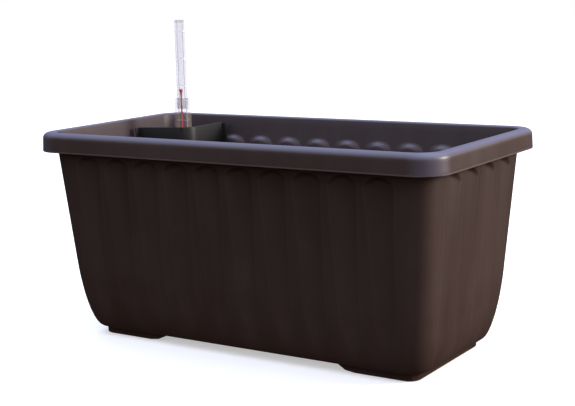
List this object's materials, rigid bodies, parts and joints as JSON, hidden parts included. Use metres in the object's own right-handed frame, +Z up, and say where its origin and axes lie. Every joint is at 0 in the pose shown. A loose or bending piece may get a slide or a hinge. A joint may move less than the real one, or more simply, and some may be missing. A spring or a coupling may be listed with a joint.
{
  "type": "self watering planter",
  "caption": "Rectangular fluted planting tub with a lift-out reservoir insert, a corner filler shaft and a float gauge that shows the water level.",
  "frame": {"origin": "middle of the tub's footprint, on the surface that its feet stand on", "axes": "+X along the tub's long side, +Y to the rear, where the filler shaft stands in the left corner, +Z up"},
  "size_m": [0.6, 0.3026, 0.4247],
  "materials": {
    "brown_plastic": "satin, injection moulded",
    "black_plastic": "satin",
    "clear_plastic": "clear, glossy",
    "red_plastic": "glossy",
    "white_foam": "fine closed-cell foam",
    "seal_rubber": "matt"
  },
  "bodies": {
    "tub": {"tub": "brown_plastic"},
    "plug": {"overflow_plug": "black_plastic", "overflow_seal": "seal_rubber"},
    "insert": {"false_floor": "black_plastic", "support_leg_front_left": "black_plastic", "support_leg_front_right": "black_plastic", "support_leg_rear_left": "black_plastic", "support_leg_rear_right": "black_plastic", "wick_basket_1": "black_plastic", "wick_basket_2": "black_plastic", "wick_basket_3": "black_plastic", "filler_shaft": "black_plastic"},
    "gauge": {"float_chamber": "black_plastic", "gauge_sleeve": "clear_plastic", "gauge_tube": "clear_plastic", "gauge_cap": "clear_plastic", "rod_guide": "clear_plastic"},
    "float": {"indicator_rod": "red_plastic", "float_body": "white_foam", "float_clip": "black_plastic"}
  },
  "joints": [
    {"name": "insert_lift", "type": "slide", "parent": "tub", "child": "insert", "axis": [0, 0, 1], "range_m": [0, 0.3]},
    {"name": "gauge_lift", "type": "slide", "parent": "insert", "child": "gauge", "axis": [0, 0, 1], "range_m": [0, 0.28]},
    {"name": "float_rise", "type": "slide", "parent": "gauge", "child": "float", "axis": [0, 0, 1], "range_m": [0, 0.0846]},
    {"name": "plug_pull", "type": "slide", "parent": "tub", "child": "plug", "axis": [-0.9967, 0, -0.0811], "range_m": [0, 0.025]}
  ]
}
